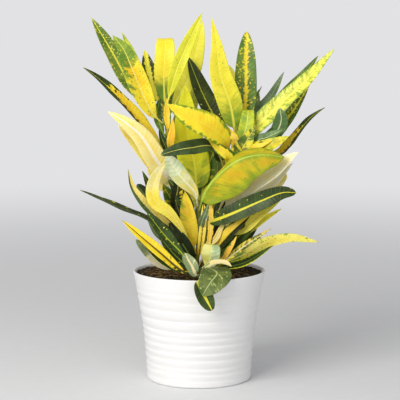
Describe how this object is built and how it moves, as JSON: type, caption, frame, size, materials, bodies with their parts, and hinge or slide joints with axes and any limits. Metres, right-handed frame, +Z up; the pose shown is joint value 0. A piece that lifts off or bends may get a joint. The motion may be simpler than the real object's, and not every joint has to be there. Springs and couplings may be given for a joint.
{
  "type": "potted croton",
  "caption": "Variegated croton house plant: upright leafy stems with long spotted leaves, rooted in soil in a ribbed white flared pot that stands on a flat foot.",
  "frame": {"origin": "centre of the flat underside of the pot, on the pot's own axis", "axes": "+Z up along the pot's axis, +X to the viewer's right, +Y away from the viewer, so -Y is the front"},
  "size_m": [0.3196, 0.1892, 0.4673],
  "materials": {
    "pot_glaze": "satin",
    "potting_soil": "matt",
    "stem_bark": "satin",
    "leaf_yellow": "satin",
    "leaf_cream": "satin",
    "leaf_lime": "satin",
    "leaf_speckled": "satin",
    "leaf_banded": "satin",
    "leaf_green": "satin",
    "leaf_grey_green": "satin"
  },
  "bodies": {
    "root": {"pot": "pot_glaze", "soil": "potting_soil", "stem_left": "stem_bark", "stem_middle": "stem_bark", "stem_right": "stem_bark", "stem_front": "stem_bark", "leaf_left_top_1": "leaf_speckled", "leaf_left_top_2": "leaf_yellow", "leaf_left_top_3": "leaf_cream", "leaf_left_top_4": "leaf_green", "leaf_left_top_5": "leaf_yellow", "leaf_left_top_6": "leaf_yellow", "leaf_left_top_7": "leaf_cream", "leaf_left_mid_1": "leaf_banded", "leaf_left_mid_2": "leaf_cream", "leaf_left_mid_3": "leaf_cream", "leaf_left_mid_4": "leaf_green", "leaf_left_mid_5": "leaf_banded", "leaf_middle_1": "leaf_green", "leaf_middle_2": "leaf_lime", "leaf_middle_3": "leaf_cream", "leaf_middle_4": "leaf_green", "leaf_middle_5": "leaf_yellow", "leaf_middle_6": "leaf_lime", "leaf_middle_7": "leaf_yellow", "leaf_middle_8": "leaf_green", "leaf_middle_9": "leaf_yellow", "leaf_left_low_1": "leaf_yellow", "leaf_left_low_2": "leaf_banded", "leaf_left_low_3": "leaf_grey_green", "leaf_left_low_4": "leaf_green", "leaf_left_low_5": "leaf_green", "leaf_left_low_6": "leaf_banded", "leaf_left_low_7": "leaf_yellow", "leaf_left_low_8": "leaf_banded", "leaf_left_low_9": "leaf_grey_green", "leaf_right_top_1": "leaf_lime", "leaf_right_top_2": "leaf_speckled", "leaf_right_top_3": "leaf_lime", "leaf_right_top_4": "leaf_yellow", "leaf_right_top_5": "leaf_green", "leaf_right_top_6": "leaf_grey_green", "leaf_right_top_7": "leaf_speckled", "leaf_right_top_8": "leaf_grey_green", "leaf_right_top_9": "leaf_green", "leaf_right_top_10": "leaf_banded", "leaf_right_low_1": "leaf_banded", "leaf_right_low_2": "leaf_cream", "leaf_right_low_3": "leaf_cream", "leaf_right_low_4": "leaf_lime", "leaf_right_low_5": "leaf_banded", "leaf_right_low_6": "leaf_green", "leaf_right_low_7": "leaf_green", "leaf_right_low_8": "leaf_speckled", "leaf_right_low_9": "leaf_yellow", "leaf_front_1": "leaf_cream", "leaf_front_2": "leaf_grey_green", "leaf_front_3": "leaf_speckled", "leaf_front_4": "leaf_banded", "leaf_front_5": "leaf_cream"}
  },
  "joints": []
}
